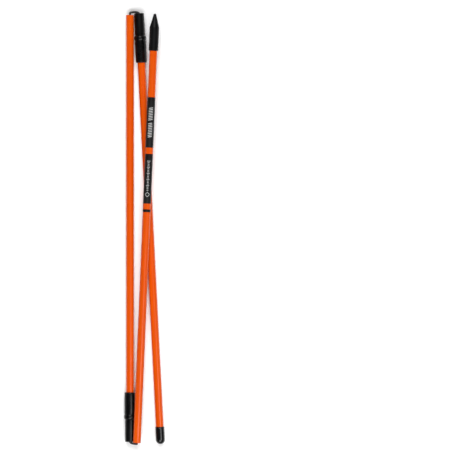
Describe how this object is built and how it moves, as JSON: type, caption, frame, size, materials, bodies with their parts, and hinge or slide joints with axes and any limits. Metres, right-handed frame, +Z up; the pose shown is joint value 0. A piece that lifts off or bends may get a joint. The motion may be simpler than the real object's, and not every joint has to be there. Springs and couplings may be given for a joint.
{
  "type": "alignment stick",
  "caption": "Three-section folding golf alignment stick: tubes joined by ferrules on an elastic cord, with a ground spike and a round end cap, shown folded.",
  "frame": {"origin": "middle of the folded stick's footprint, on the surface it lies on", "axes": "+Y along the middle section towards its bare tube end, +X from the middle section towards the round cap, +Z up off the surface"},
  "size_m": [0.0402, 0.4256, 0.0211],
  "materials": {
    "orange_lacquer": "glossy orange lacquer on fibreglass tube",
    "ferrule_black": "satin black moulded plastic",
    "spike_black": "matte black moulded plastic",
    "cap_vinyl": "glossy black dipped vinyl",
    "cord_elastic": "black braided sheath over an elastic core",
    "panel_print": null,
    "washer_steel": "plain zinc-plated steel"
  },
  "bodies": {
    "middle_section": {"middle_tube": "orange_lacquer", "lower_ferrule": "ferrule_black", "cord_middle_run": "cord_elastic"},
    "lower_cord_link": {"cord_lower_bend": "cord_elastic"},
    "lower_cord_lead": {"cord_tip_lead": "cord_elastic"},
    "tip_section": {"tip_tube": "orange_lacquer", "spike_tip": "spike_black", "label_upper_panel": "panel_print", "label_lower_panel": "panel_print", "label_stripe": "panel_print", "tip_washer": "washer_steel", "tip_knot": "cord_elastic", "cord_tip_run": "cord_elastic"},
    "upper_cord_lead": {"cord_middle_lead": "cord_elastic"},
    "upper_cord_link": {"cord_upper_bend": "cord_elastic"},
    "end_section": {"end_tube": "orange_lacquer", "upper_ferrule": "ferrule_black", "end_cap": "cap_vinyl", "end_washer": "washer_steel", "end_knot": "cord_elastic", "cord_end_run": "cord_elastic"}
  },
  "joints": [
    {"name": "lower_shift", "type": "slide", "parent": "middle_section", "child": "lower_cord_link", "axis": [-0.7833, 0, -0.6217], "range_m": [0, 0.00529], "deforming": ["cord_lower_bend"]},
    {"name": "lower_fold", "type": "hinge", "parent": "lower_cord_link", "child": "lower_cord_lead", "pos_m": [-0.00868, -0.21178, 0.01024], "axis": [0.6219, -0.0083, -0.7831], "range_deg": [0, 177.65]},
    {"name": "lower_seat", "type": "slide", "parent": "lower_cord_lead", "child": "tip_section", "axis": [-0.0424, -0.999, -0.0126], "range_m": [0, 0.02706], "deforming": ["cord_tip_lead"]},
    {"name": "upper_seat", "type": "slide", "parent": "middle_section", "child": "upper_cord_lead", "axis": [0, -1, 0], "range_m": [0, 0.02839], "deforming": ["cord_middle_lead"]},
    {"name": "upper_shift", "type": "slide", "parent": "upper_cord_lead", "child": "upper_cord_link", "axis": [-0.9999, 0, -0.01], "range_m": [0, 0.00524], "deforming": ["cord_upper_bend"]},
    {"name": "upper_fold", "type": "hinge", "parent": "upper_cord_link", "child": "end_section", "pos_m": [-0.00722, 0.21169, 0.00592], "axis": [-0.01, -0.002, 0.9999], "range_deg": [0, 177.13]}
  ],
  "couplings": [
    {"joint": "lower_shift", "follows": "lower_fold", "m_per_rad": 0.0017051},
    {"joint": "upper_shift", "follows": "upper_fold", "m_per_rad": 0.0016961}
  ]
}
